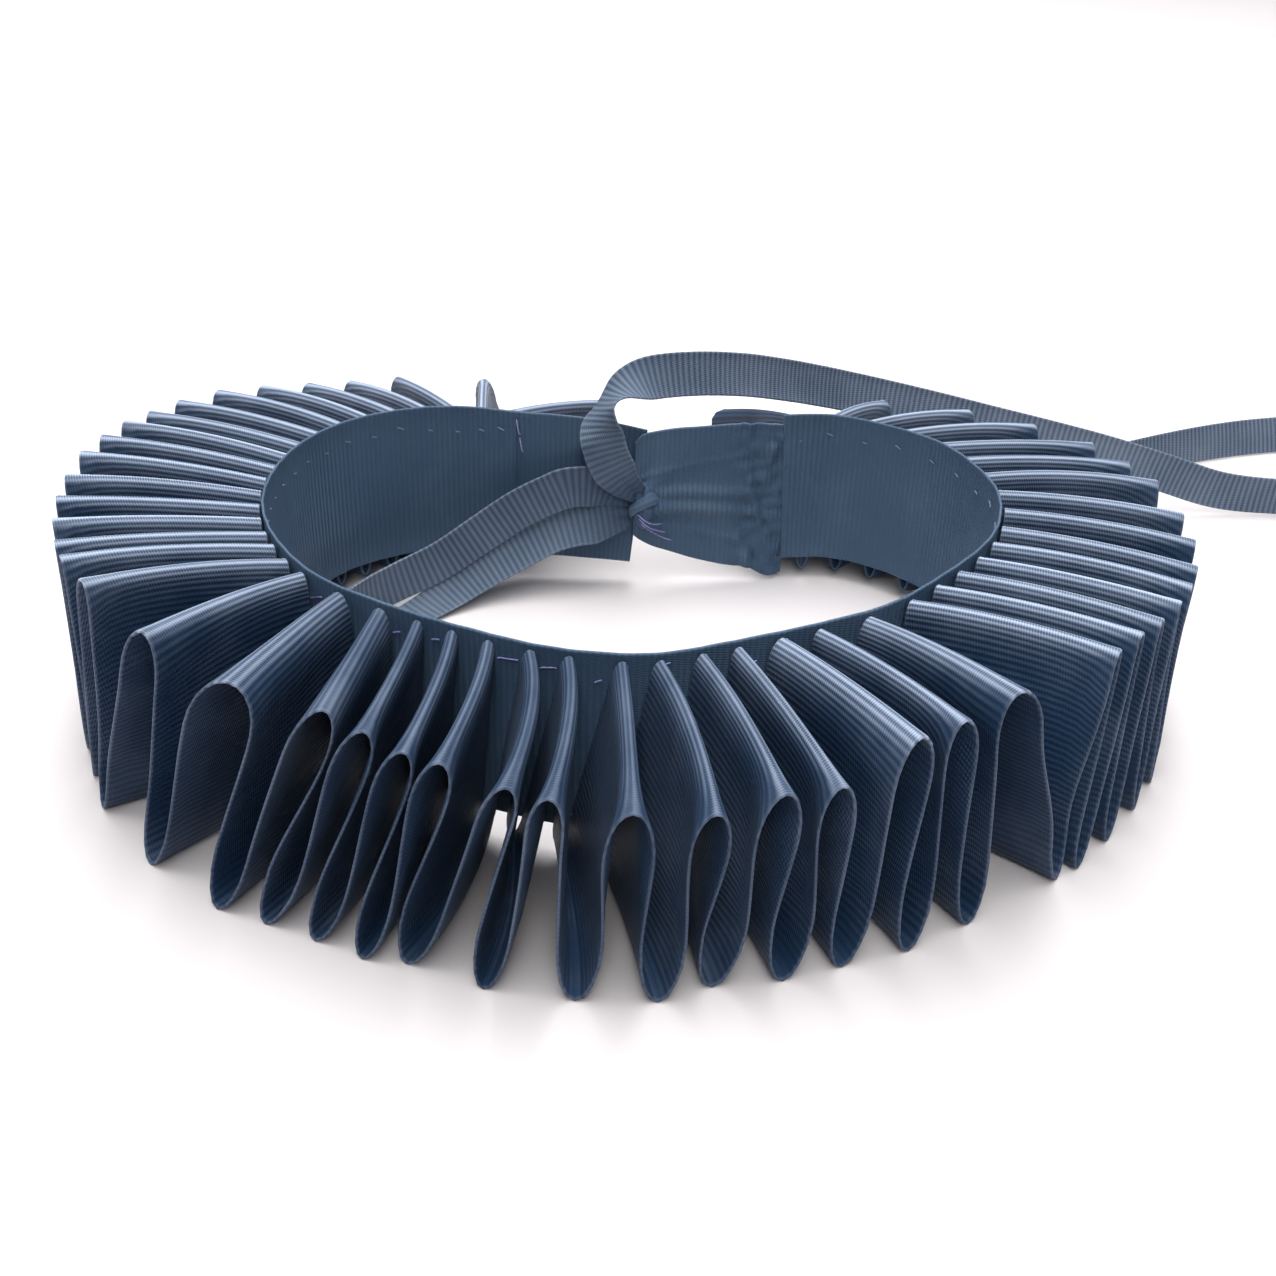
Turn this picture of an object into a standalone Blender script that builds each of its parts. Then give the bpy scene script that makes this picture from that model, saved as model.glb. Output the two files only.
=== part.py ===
"""Pleated ribbon ruff collar, lying as it rests on a table.

One ribbon stands on edge as the neckband. A second ribbon of the same width is
folded in upright waves and sewn to the outside of the band by one selvedge. Two
ribbon tabs close the back, and narrow ties leave the knot between them.

+Z is up, the wearer's throat faces -Y and the open back faces +Y. Tables and
named sizes are in millimetres; meshes are made in metres.
"""

import math

import bmesh
import bpy
from mathutils import Vector

MM = 0.001

# Ribbons: band and tabs are 38 mm (1 1/2 in) grosgrain, the ruffle is a hair wider
RIBBON_WIDTH = 38.0
RUFFLE_WIDTH = 39.0
TIE_WIDTH = 10.5
WALL = 1.0
TIE_WALL = 0.9
SEAM_GAP = 0.35

# Heights above the table
BAND_FOOT = 6.0
BAND_TOP = BAND_FOOT + RIBBON_WIDTH
FOLD_TOP_AT_BAND = 43.2

# Middle of the collar's outline in the tables' own grid, moved to the origin
CENTRE_X = 0.8
CENTRE_Y = 10.3

# Folds: size of a loop where it is sewn down, and rise of its ridge half way out
LOOP_AT_BAND = 3.0
FOOT_AT_BAND = 3.0
WIDEST_FOOT = 6.5
LEAST_ROOM = 2.4
RIDGE_SWELL = 0.9
RADIAL_STEPS = 2

# Neckband seen from above, from its left back end over the throat to the right
# columns: x, y
BAND_PLAN = [
    (-27.0, 65.0),
    (-40.0, 67.0),
    (-51.0, 66.0),
    (-62.0, 60.0),
    (-70.0, 51.5),
    (-75.0, 39.0),
    (-77.0, 25.0),
    (-75.0, 9.0),
    (-69.0, -6.0),
    (-60.0, -18.5),
    (-48.0, -28.0),
    (-33.0, -36.5),
    (-17.0, -43.5),
    (0.0, -46.5),
    (15.0, -42.0),
    (31.0, -35.0),
    (46.0, -27.0),
    (59.0, -14.5),
    (70.0, -1.0),
    (76.5, 13.0),
    (78.5, 27.0),
    (76.0, 41.0),
    (70.0, 53.0),
    (60.0, 62.5),
    (49.0, 67.0),
    (36.5, 66.0),
]

# Folds of the ruffle, in order along the band. A bearing is the way a fold points
# from the band: 0 straight back, 90 left, 180 to the throat, 270 right.
# columns: place along the band, bearing of the ridge, bearing of the foot after it,
# height of the ridge at the rim, width of the loop at the rim
FOLDS = [
    (3.5, -42, -20, 35.5, 5.0),
    (8.5, 4, 16, 36.5, 5.0),
    (14.5, 28, 32, 38.0, 5.0),
    (21.0, 37, 40, 38.0, 5.0),
    (28.0, 43, 47, 39.0, 5.0),
    (35.0, 51, 55, 41.0, 5.0),
    (42.0, 59, 62, 43.0, 5.0),
    (49.0, 66, 67, 44.0, 5.0),
    (56.0, 71, 72, 45.0, 5.0),
    (62.5, 76, 76, 46.5, 5.0),
    (69.0, 81, 81, 47.0, 5.0),
    (75.5, 88, 88, 48.0, 5.0),
    (82.0, 96, 93, 48.0, 5.0),
    (88.5, 102, 98, 48.0, 5.0),
    (95.0, 108, 102, 48.0, 5.0),
    (101.5, 113, 106, 48.0, 5.0),
    (107.5, 118, 111, 47.5, 5.0),
    (114.5, 124, 115, 47.0, 5.5),
    (123.0, 139, 129, 46.0, 8.0),
    (133.0, 161, 141, 45.0, 13.0),
    (142.0, 171, 147, 43.0, 9.0),
    (150.0, 174, 152, 42.5, 7.0),
    (158.5, 173, 154, 42.0, 6.0),
    (166.5, 172, 155, 41.5, 5.0),
    (175.0, 174, 163, 41.0, 5.5),
    (182.5, 175, 171, 40.5, 5.5),
    (191.5, 179, 179, 40.0, 6.5),
    (200.0, 185, 184, 39.5, 7.0),
    (208.0, 190, 191, 40.0, 6.0),
    (215.5, 194, 195, 41.0, 6.5),
    (224.0, 203, 200, 42.0, 11.0),
    (233.0, 206, 208, 43.5, 8.0),
    (243.0, 214, 226, 45.0, 13.0),
    (252.0, 233, 230, 44.0, 5.0),
    (259.0, 236, 235, 43.0, 4.5),
    (266.0, 239, 240, 42.5, 4.5),
    (273.0, 243, 243, 41.5, 4.5),
    (281.0, 248, 249, 41.0, 5.0),
    (289.0, 252, 254, 41.0, 5.0),
    (298.0, 257, 259, 41.0, 5.5),
    (307.0, 261, 266, 41.5, 5.5),
    (316.0, 271, 272, 42.0, 6.0),
    (325.0, 275, 277, 41.5, 6.0),
    (334.0, 281, 287, 41.0, 6.0),
    (344.0, 294, 301, 39.0, 6.0),
    (353.0, 309, 320, 37.0, 6.0),
    (361.5, 331, 352, 34.5, 7.0),
    (369.0, 379, 400, 31.0, 15.0),
]

# Left back tab, flat, cut a little aslant at its right end
# columns: x of the lower edge, x of the upper edge, y, height of each edge
TAB_LEFT = [
    (-26.6, -26.6, 64.8, 5.9, 43.8),
    (-18.0, -18.0, 65.0, 6.2, 43.4),
    (-9.0, -8.0, 65.2, 5.5, 42.4),
    (0.8, 4.2, 65.4, 4.6, 39.8),
]

# Right back tab, from the gathered seam at the band to the knot
# columns: x, y, height of the lower edge, height of the upper edge
TAB_RIGHT = [
    (36.1, 66.0, 3.4, 41.6),
    (30.0, 65.9, 4.6, 41.6),
    (24.0, 65.7, 6.2, 41.5),
    (18.0, 65.6, 7.8, 41.3),
    (12.0, 65.5, 10.0, 40.6),
    (7.5, 65.5, 12.6, 40.0),
    (4.8, 65.5, 15.0, 38.6),
]
TAB_RIGHT_ROWS = 8
PINCH_HEIGHT = 19.5
PINCH_DEPTH = 1.6
PINCH_REACH = 22.0

# Knot of the narrow ribbon, seated on the ends of both tabs
KNOT_MIDDLE = (3.4, 61.2, 19.6)
KNOT_HALF = (4.2, 3.6, 7.0)
KNOT_WAIST = 0.14
KNOT_TURNS = 3

# Ties: routes from the end at the knot, or the hidden end, to the free end
# columns: x, y, z of the middle, then the direction from edge to edge
TIE_ARCH = [
    (2.4, 59.6, 27.2, 0.8, 0.0, 0.6),
    (-3.2, 58.2, 31.0, 0.9, 0.0, 0.4),
    (-6.6, 58.2, 35.4, 1.0, 0.0, 0.2),
    (-7.9, 58.8, 40.4, 1.0, 0.1, 0.1),
    (-7.8, 60.4, 44.8, 0.9, 0.3, 0.0),
    (-6.4, 63.0, 48.2, 0.6, 0.7, -0.3),
    (-4.2, 66.0, 50.6, 0.3, 0.6, -0.7),
    (-0.6, 69.2, 51.4, 0.0, 0.2, -1.0),
    (3.2, 71.6, 51.2, 0.0, 0.0, -1.0),
    (7.5, 74.0, 50.4, 0.0, 0.0, -1.0),
    (16.9, 78.5, 49.2, 0.0, 0.0, -1.0),
    (27.1, 83.5, 47.0, 0.0, 0.0, -1.0),
    (36.5, 88.0, 44.6, 0.0, 0.0, -1.0),
    (49.2, 97.0, 40.0, 0.0, 0.0, -1.0),
    (64.0, 106.0, 34.1, 0.0, 0.0, -1.0),
    (81.3, 110.0, 29.0, 0.0, 0.0, -1.0),
    (98.3, 111.0, 24.7, 0.0, 0.0, -1.0),
    (115.4, 111.0, 20.7, 0.0, 0.0, -1.0),
    (131.0, 111.0, 16.8, 0.0, 0.0, -1.0),
    (147.5, 111.0, 12.0, 0.0, 0.0, -1.0),
    (164.5, 110.8, 7.0, 0.0, 0.0, -1.0),
    (181.0, 110.0, 5.7, 0.0, 0.0, -1.0),
    (196.0, 110.5, 5.7, 0.0, 0.0, -1.0),
]
TIE_BACK = [
    (94.48, 83.71, 5.7, 0.0, 0.0, 1.0),
    (99.6, 92.6, 5.7, 0.0, 0.0, 1.0),
    (106.2, 103.0, 5.7, 0.0, 0.0, 1.0),
    (114.0, 113.5, 5.7, 0.0, 0.0, 1.0),
    (131.0, 126.0, 5.7, 0.0, 0.1, 1.0),
    (148.0, 135.5, 5.6, 0.0, 0.2, 1.0),
    (165.5, 144.5, 5.5, 0.0, 0.3, 1.0),
    (183.0, 152.0, 5.4, 0.0, 0.4, 1.0),
    (199.0, 157.0, 5.2, 0.0, 0.5, 1.0),
    (214.0, 160.0, 5.0, 0.0, 0.6, 1.0),
]
TIE_INNER_UPPER = [
    (-0.6, 61.6, 22.6, 0.0, 0.0, 1.0),
    (-6.9, 61.8, 25.8, 0.0, 0.0, 1.0),
    (-16.4, 60.6, 27.0, 0.0, 0.0, 1.0),
    (-25.8, 58.6, 23.2, 0.0, 0.0, 1.0),
    (-35.4, 56.0, 16.6, 0.0, 0.0, 1.0),
    (-44.9, 52.0, 10.9, 0.0, 0.0, 1.0),
    (-54.0, 48.0, 7.2, 0.0, 0.0, 1.0),
    (-61.0, 42.0, 5.7, 0.0, 0.0, 1.0),
    (-65.5, 33.0, 5.6, 0.0, 0.0, 1.0),
    (-67.0, 23.0, 5.6, 0.0, 0.0, 1.0),
]
TIE_INNER_LOWER = [
    (-1.2, 60.6, 16.0, 0.0, 0.3, 1.0),
    (-7.5, 59.8, 16.6, 0.0, 0.5, 1.0),
    (-16.4, 58.2, 13.6, 0.0, 0.9, 0.8),
    (-26.0, 56.0, 8.6, 0.0, 1.0, 0.5),
    (-35.6, 52.4, 4.0, -0.4, 0.9, 0.1),
    (-43.6, 48.0, 1.6, -0.6, 0.8, 0.0),
    (-50.5, 42.5, 0.8, -0.7, 0.8, 0.0),
    (-57.0, 36.0, 0.8, -0.7, 0.7, 0.0),
]
TIE_GATHER = 0.5
TIE_GATHER_LENGTH = 14.0

# Colour, roughness of each ribbon
NAVY_GROSGRAIN = ((0.020, 0.030, 0.055, 1.0), 0.55)
SLATE_TIE = ((0.055, 0.068, 0.095, 1.0), 0.50)


def spline(rows, steps):
    """Smooth run of rows (Catmull-Rom) that passes through every given row."""
    first = [2 * a - b for a, b in zip(rows[0], rows[1])]
    last = [2 * a - b for a, b in zip(rows[-1], rows[-2])]
    ends = [first, *rows, last]
    run = []
    for before, start, stop, after in zip(ends, ends[1:], ends[2:], ends[3:]):
        for step in range(steps):
            t = step / steps
            row = []
            for a, b, c, d in zip(before, start, stop, after):
                bend = (2 * a - 5 * b + 4 * c - d) * t * t + (3 * b - a - 3 * c + d) * t**3
                row.append(0.5 * (2 * b + (c - a) * t + bend))
            run.append(row)
    run.append(list(rows[-1]))
    return run


class Track:
    """A plan curve that is read by the distance along it."""

    def __init__(self, rows, steps=16):
        self.points = [Vector(row[:2]) for row in spline(rows, steps)]
        self.marks = [0.0]
        for a, b in zip(self.points, self.points[1:]):
            self.marks.append(self.marks[-1] + (b - a).length)
        self.length = self.marks[-1]

    def point(self, place):
        index = 1
        while index < len(self.marks) - 1 and self.marks[index] < place:
            index += 1
        start, stop = self.marks[index - 1], self.marks[index]
        share = (place - start) / (stop - start)
        return self.points[index - 1].lerp(self.points[index], share)

    def outward(self, place):
        along = self.point(place + 1.0) - self.point(place - 1.0)
        return Vector((along.y, -along.x)).normalized()


def fabric(name, finish):
    colour, roughness = finish
    material = bpy.data.materials.new(name)
    material.use_nodes = True
    shader = material.node_tree.nodes["Principled BSDF"]
    shader.inputs["Base Color"].default_value = colour
    shader.inputs["Roughness"].default_value = roughness
    shader.inputs["Metallic"].default_value = 0.0
    return material


def place_object(name, mesh, material):
    mesh.materials.append(material)
    item = bpy.data.objects.new(name, mesh)
    bpy.context.scene.collection.objects.link(item)
    mesh.shade_smooth()
    mesh.set_sharp_from_angle(angle=math.radians(40))
    return item


def cloth_wall(name, grid, wall, material, flat_rows=()):
    """Closed wall round a grid of middle points, with its thickness half each way.

    Rows listed in flat_rows rest on the table: their lower skin is level at 0. Each
    four-sided patch is split the same way up, so that folds nest in one another.
    """
    rows, columns = len(grid), len(grid[0])

    def normal(i, j):
        along = grid[min(i + 1, rows - 1)][j] - grid[max(i - 1, 0)][j]
        across = grid[i][min(j + 1, columns - 1)] - grid[i][max(j - 1, 0)]
        return along.cross(across).normalized()

    mesh_data = bmesh.new()
    skins = []
    for side in (1.0, -1.0):
        skin = []
        for i in range(rows):
            line = []
            for j in range(columns):
                away = normal(i, j) * side
                point = grid[i][j] + away * (wall / 2)
                if i in flat_rows:
                    point.z = wall if away.z > 0 else 0.0
                centred = (point.x - CENTRE_X, point.y - CENTRE_Y, point.z)
                line.append(mesh_data.verts.new(Vector(centred) * MM))
            skin.append(line)
        skins.append(skin)
    front, back = skins
    for i in range(rows - 1):
        for j in range(columns - 1):
            rising = grid[i + 1][j].z > grid[i][j].z
            for skin in skins:
                low, high = (skin[i], skin[i + 1]) if rising else (skin[i + 1], skin[i])
                mesh_data.faces.new((low[j], high[j], high[j + 1]))
                mesh_data.faces.new((low[j], high[j + 1], low[j + 1]))
    for j in (0, columns - 1):
        for i in range(rows - 1):
            mesh_data.faces.new((front[i][j], front[i + 1][j], back[i + 1][j], back[i][j]))
    for i in (0, rows - 1):
        for j in range(columns - 1):
            mesh_data.faces.new((front[i][j], front[i][j + 1], back[i][j + 1], back[i][j]))
    bmesh.ops.recalc_face_normals(mesh_data, faces=mesh_data.faces)
    mesh = bpy.data.meshes.new(name)
    mesh_data.to_mesh(mesh)
    mesh_data.free()
    return place_object(name, mesh, material)


def make_neckband(track, material):
    """The band stands on edge: one column of points for each step round the neck."""
    grid = []
    for point in track.points[::4]:
        grid.append([Vector((point.x, point.y, z)) for z in (BAND_FOOT, BAND_TOP)])
    return cloth_wall("neckband", grid, WALL, material)


def heading(bearing):
    """Unit vectors of a fold: out from the band, and onward along the band."""
    turn = math.radians(bearing)
    outward = Vector((-math.sin(turn), math.cos(turn)))
    onward = Vector((-math.cos(turn), -math.sin(turn)))
    return outward, onward


def fold_line(track, place, bearing):
    """Plan points of a fold's inner and outer end, and the onward way at each."""
    outward, onward = heading(bearing)
    facing = track.outward(place)
    slant = math.sqrt(max(0.0, 1.0 - outward.dot(facing) ** 2))
    seat = WALL / 2 + SEAM_GAP + slant * WALL / 2
    inner = track.point(place) + facing * seat
    along_band = Vector((-facing.y, facing.x))
    return inner, inner + outward * RUFFLE_WIDTH, along_band, onward


def ruffle_profile(track):
    """Rows of the folded ribbon: for each, inner and outer plan point and height."""
    ridges = [fold_line(track, row[0], row[1]) for row in FOLDS]
    feet = []
    for row, following in zip(FOLDS, FOLDS[1:]):
        feet.append(fold_line(track, (row[0] + following[0]) / 2, row[2]))
    spans = [(b[1] - a[1]).length for a, b in zip(ridges, ridges[1:])]
    rows = []
    rests = []

    def add(line, across, heights):
        inner, outer, along_band, onward = line
        rows.append((inner + along_band * across[0], outer + onward * across[1], *heights))

    def leg_end(line, widths, side):
        half = [side * width / 2 for width in widths]
        add(line, half, (BAND_FOOT, BAND_FOOT))

    for index, row in enumerate(FOLDS):
        room = min(spans[max(index - 1, 0)], spans[min(index, len(spans) - 1)])
        widths = (LOOP_AT_BAND, min(row[4], room - LEAST_ROOM))
        tops = (FOLD_TOP_AT_BAND - WALL / 2, row[3] - WALL / 2)
        if index == 0:
            leg_end(ridges[0], widths, -1)
        for across, drop in ((-0.5, 0.62), (-0.38, 0.18), (0.0, 0.0), (0.38, 0.18), (0.5, 0.62)):
            shifts = [across * width for width in widths]
            heights = [top - drop * width for top, width in zip(tops, widths)]
            add(ridges[index], shifts, heights)
        if index == len(FOLDS) - 1:
            leg_end(ridges[index], widths, 1)
            continue
        feet_widths = (FOOT_AT_BAND, min(WIDEST_FOOT, 0.55 * spans[index]))
        for across, lift in ((-0.5, 0.6), (-0.26, 0.0), (0.26, 0.0), (0.5, 0.6)):
            shifts = [across * width for width in feet_widths]
            heights = [WALL / 2 + lift * width for width in feet_widths]
            if lift == 0.0:
                rests.append(len(rows))
            add(feet[index], shifts, heights)
    return rows, rests


def make_ruffle(track, material):
    """One ribbon folded in upright waves, its inner selvedge along the band."""
    rows, rests = ruffle_profile(track)
    grid = []
    for index, (inner, outer, low, high) in enumerate(rows):
        line = []
        for step in range(RADIAL_STEPS + 1):
            share = step / RADIAL_STEPS
            plan = inner.lerp(outer, share)
            height = low + (high - low) * share
            if index not in rests:
                lift = RIDGE_SWELL * 4 * share * (1 - share)
                height += lift * height / FOLD_TOP_AT_BAND
            line.append(Vector((plan.x, plan.y, height)))
        grid.append(line)
    return cloth_wall("ruffle", grid, WALL, material, flat_rows=set(rests))


def make_tab_left(material):
    grid = []
    for low_x, high_x, y, low, high in spline(TAB_LEFT, 2):
        grid.append([Vector((low_x, y, low)), Vector((high_x, y, high))])
    return cloth_wall("tab_left", grid, WALL, material)


def make_tab_right(material):
    """The tab is pinched at the knot, so folds fan out from there and die away."""
    grid = []
    for x, y, low, high in spline(TAB_RIGHT, 2):
        line = []
        from_knot = x - TAB_RIGHT[-1][0]
        depth = PINCH_DEPTH * math.exp(-from_knot / PINCH_REACH)
        for step in range(TAB_RIGHT_ROWS + 1):
            z = low + (high - low) * step / TAB_RIGHT_ROWS
            spread = 3.0 + 0.45 * from_knot
            crease = math.cos((z - PINCH_HEIGHT) / spread * math.pi / 2)
            line.append(Vector((x, y + depth * 0.5 * (1.0 - crease), z)))
        grid.append(line)
    return cloth_wall("tab_right", grid, WALL, material)


def make_knot(material):
    """Tight lump of the narrow ribbon, with a waist between its turns."""
    mesh_data = bmesh.new()
    bmesh.ops.create_uvsphere(mesh_data, u_segments=14, v_segments=10, radius=1.0)
    for vertex in mesh_data.verts:
        x, y, z = vertex.co
        swell = 1.0 - KNOT_WAIST * (0.5 - 0.5 * math.cos(KNOT_TURNS * math.pi * (z + 1.0)))
        half_x, half_y, half_z = KNOT_HALF
        middle_x, middle_y, middle_z = KNOT_MIDDLE
        vertex.co.x = (middle_x + x * half_x * swell - CENTRE_X) * MM
        vertex.co.y = (middle_y + y * half_y * swell - CENTRE_Y) * MM
        vertex.co.z = (middle_z + z * half_z) * MM
    mesh = bpy.data.meshes.new("knot")
    mesh_data.to_mesh(mesh)
    mesh_data.free()
    return place_object("knot", mesh, material)


def make_tie(name, route, gathered, material):
    """Narrow ribbon swept along its route, gathered in where it enters the knot."""
    rows = spline(route, 3)
    points = [Vector(row[:3]) for row in rows]
    grid = []
    travelled = 0.0
    for index, row in enumerate(rows):
        if index:
            travelled += (points[index] - points[index - 1]).length
        onward = points[min(index + 1, len(rows) - 1)] - points[max(index - 1, 0)]
        onward.normalize()
        across = Vector(row[3:])
        across = (across - onward * across.dot(onward)).normalized()
        share = 1.0
        if gathered:
            share = min(1.0, TIE_GATHER + (1.0 - TIE_GATHER) * travelled / TIE_GATHER_LENGTH)
        half = across * (TIE_WIDTH / 2 * share)
        grid.append([points[index] - half, points[index] + half])
    return cloth_wall(name, grid, TIE_WALL, material)


def main():
    for item in list(bpy.data.objects):
        bpy.data.objects.remove(item, do_unlink=True)
    track = Track(BAND_PLAN)
    navy = fabric("navy_grosgrain", NAVY_GROSGRAIN)
    slate = fabric("slate_tie_ribbon", SLATE_TIE)
    make_neckband(track, navy.copy())
    make_ruffle(track, navy.copy())
    make_tab_left(navy.copy())
    make_tab_right(navy.copy())
    make_knot(slate.copy())
    make_tie("tie_arch", TIE_ARCH, True, slate.copy())
    make_tie("tie_back", TIE_BACK, False, slate.copy())
    make_tie("tie_inner_upper", TIE_INNER_UPPER, True, slate.copy())
    make_tie("tie_inner_lower", TIE_INNER_LOWER, True, slate.copy())


main()
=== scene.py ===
"""Looks of a pleated ribbon ruff collar that lies open on a pale table.

Every piece is ribbon: a neckband on edge, a long ribbon folded round it in upright
waves, two tabs that close the back, a knot and four narrow tails. Tables are in
millimetres on the collar's own grid; meshes are made in metres about its middle.
"""

import math

import bmesh
import bpy
from mathutils import Matrix, Vector, noise


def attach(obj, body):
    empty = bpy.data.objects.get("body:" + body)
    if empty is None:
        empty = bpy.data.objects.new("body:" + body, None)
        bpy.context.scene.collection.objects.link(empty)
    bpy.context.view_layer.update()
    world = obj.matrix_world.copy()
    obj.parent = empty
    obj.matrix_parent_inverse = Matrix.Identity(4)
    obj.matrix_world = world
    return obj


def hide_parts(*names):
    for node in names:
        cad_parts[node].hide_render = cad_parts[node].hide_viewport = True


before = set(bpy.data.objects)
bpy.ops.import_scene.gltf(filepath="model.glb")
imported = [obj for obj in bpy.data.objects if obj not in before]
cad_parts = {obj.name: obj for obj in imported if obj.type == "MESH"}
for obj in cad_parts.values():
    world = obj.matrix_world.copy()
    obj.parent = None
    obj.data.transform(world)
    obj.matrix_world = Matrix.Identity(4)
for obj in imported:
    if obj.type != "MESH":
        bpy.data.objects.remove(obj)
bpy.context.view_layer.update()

MM = 0.001
# the grid's point that lies at the middle of the part's frame
CENTRE = Vector((0.8, 10.3, 0.0))

# Grosgrain ribbon: widths, then thickness in the body and along the selvedge
RUFFLE_WIDTH = 39.0
TAB_WIDTH = 38.0
TIE_WIDTH = 10.5
RIBBON_BODY = 0.42
RIBBON_SELVEDGE = 0.56
TIE_BODY = 0.4
TIE_SELVEDGE = 0.6
# Width of the selvedge, and its outer lip: place and thickness as shares
SELVEDGE_REACH = 0.6
LIP_PLACE = 0.55
LIP_THICKNESS = 0.55
# Cross ribs. The lengthwise threads are finer on real ribbon and drawn coarse to show
RIB_PITCH = 1.25
TIE_RIB_PITCH = 1.5
THREAD_PITCH = 0.5

# Neckband: heights above the table, height of the ridges where they meet it, slant of
# its right end and how far back the slant starts
BAND_FOOT = 6.0
BAND_TOP = 44.0
FOLD_TOP_AT_BAND = 43.2
BAND_END_SLANT = 2.0
BAND_END_REACH = 15.0
# Nip at each sewn fold, and the band's slow wander sideways and upwards
NIP_DEPTH = 0.12
NIP_REACH = 1.6
BAND_WANDER = 0.18
BAND_LIFT = 0.35
BAND_STEP = 1.6

# Neckband seen from above, from its left back end over the throat to the right
# columns: x, y
BAND_PLAN = [
    (-27.0, 65.0),
    (-40.0, 67.0),
    (-51.0, 66.0),
    (-62.0, 60.0),
    (-70.0, 51.5),
    (-75.0, 39.0),
    (-77.0, 25.0),
    (-75.0, 9.0),
    (-69.0, -6.0),
    (-60.0, -18.5),
    (-48.0, -28.0),
    (-33.0, -36.5),
    (-17.0, -43.5),
    (0.0, -46.5),
    (15.0, -42.0),
    (31.0, -35.0),
    (46.0, -27.0),
    (59.0, -14.5),
    (70.0, -1.0),
    (76.5, 13.0),
    (78.5, 27.0),
    (76.0, 41.0),
    (70.0, 53.0),
    (60.0, 62.5),
    (49.0, 67.0),
    (36.5, 66.0),
]

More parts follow.
